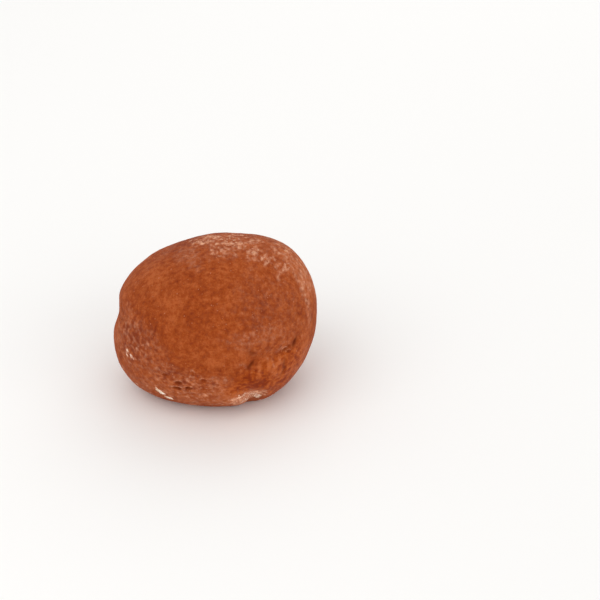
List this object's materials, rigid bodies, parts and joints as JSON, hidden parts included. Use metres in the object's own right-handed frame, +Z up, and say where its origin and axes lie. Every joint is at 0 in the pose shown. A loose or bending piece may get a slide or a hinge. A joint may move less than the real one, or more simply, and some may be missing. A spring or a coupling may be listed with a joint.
{
  "type": "mochi",
  "caption": "Soft round mochi of brown rice dough with a flat underside, a crease at its left side and a starch-dusted skin.",
  "frame": {"origin": "middle of the flat underside, on the surface that the mochi rests on", "axes": "+Z up, X along the widest way through the mochi, -Y towards its front, the side that the main view shows"},
  "size_m": [0.045, 0.0426, 0.034],
  "materials": {
    "dough": "matte brown rice dough, dusted with starch"
  },
  "bodies": {
    "root": {"mochi": "dough"}
  },
  "joints": []
}
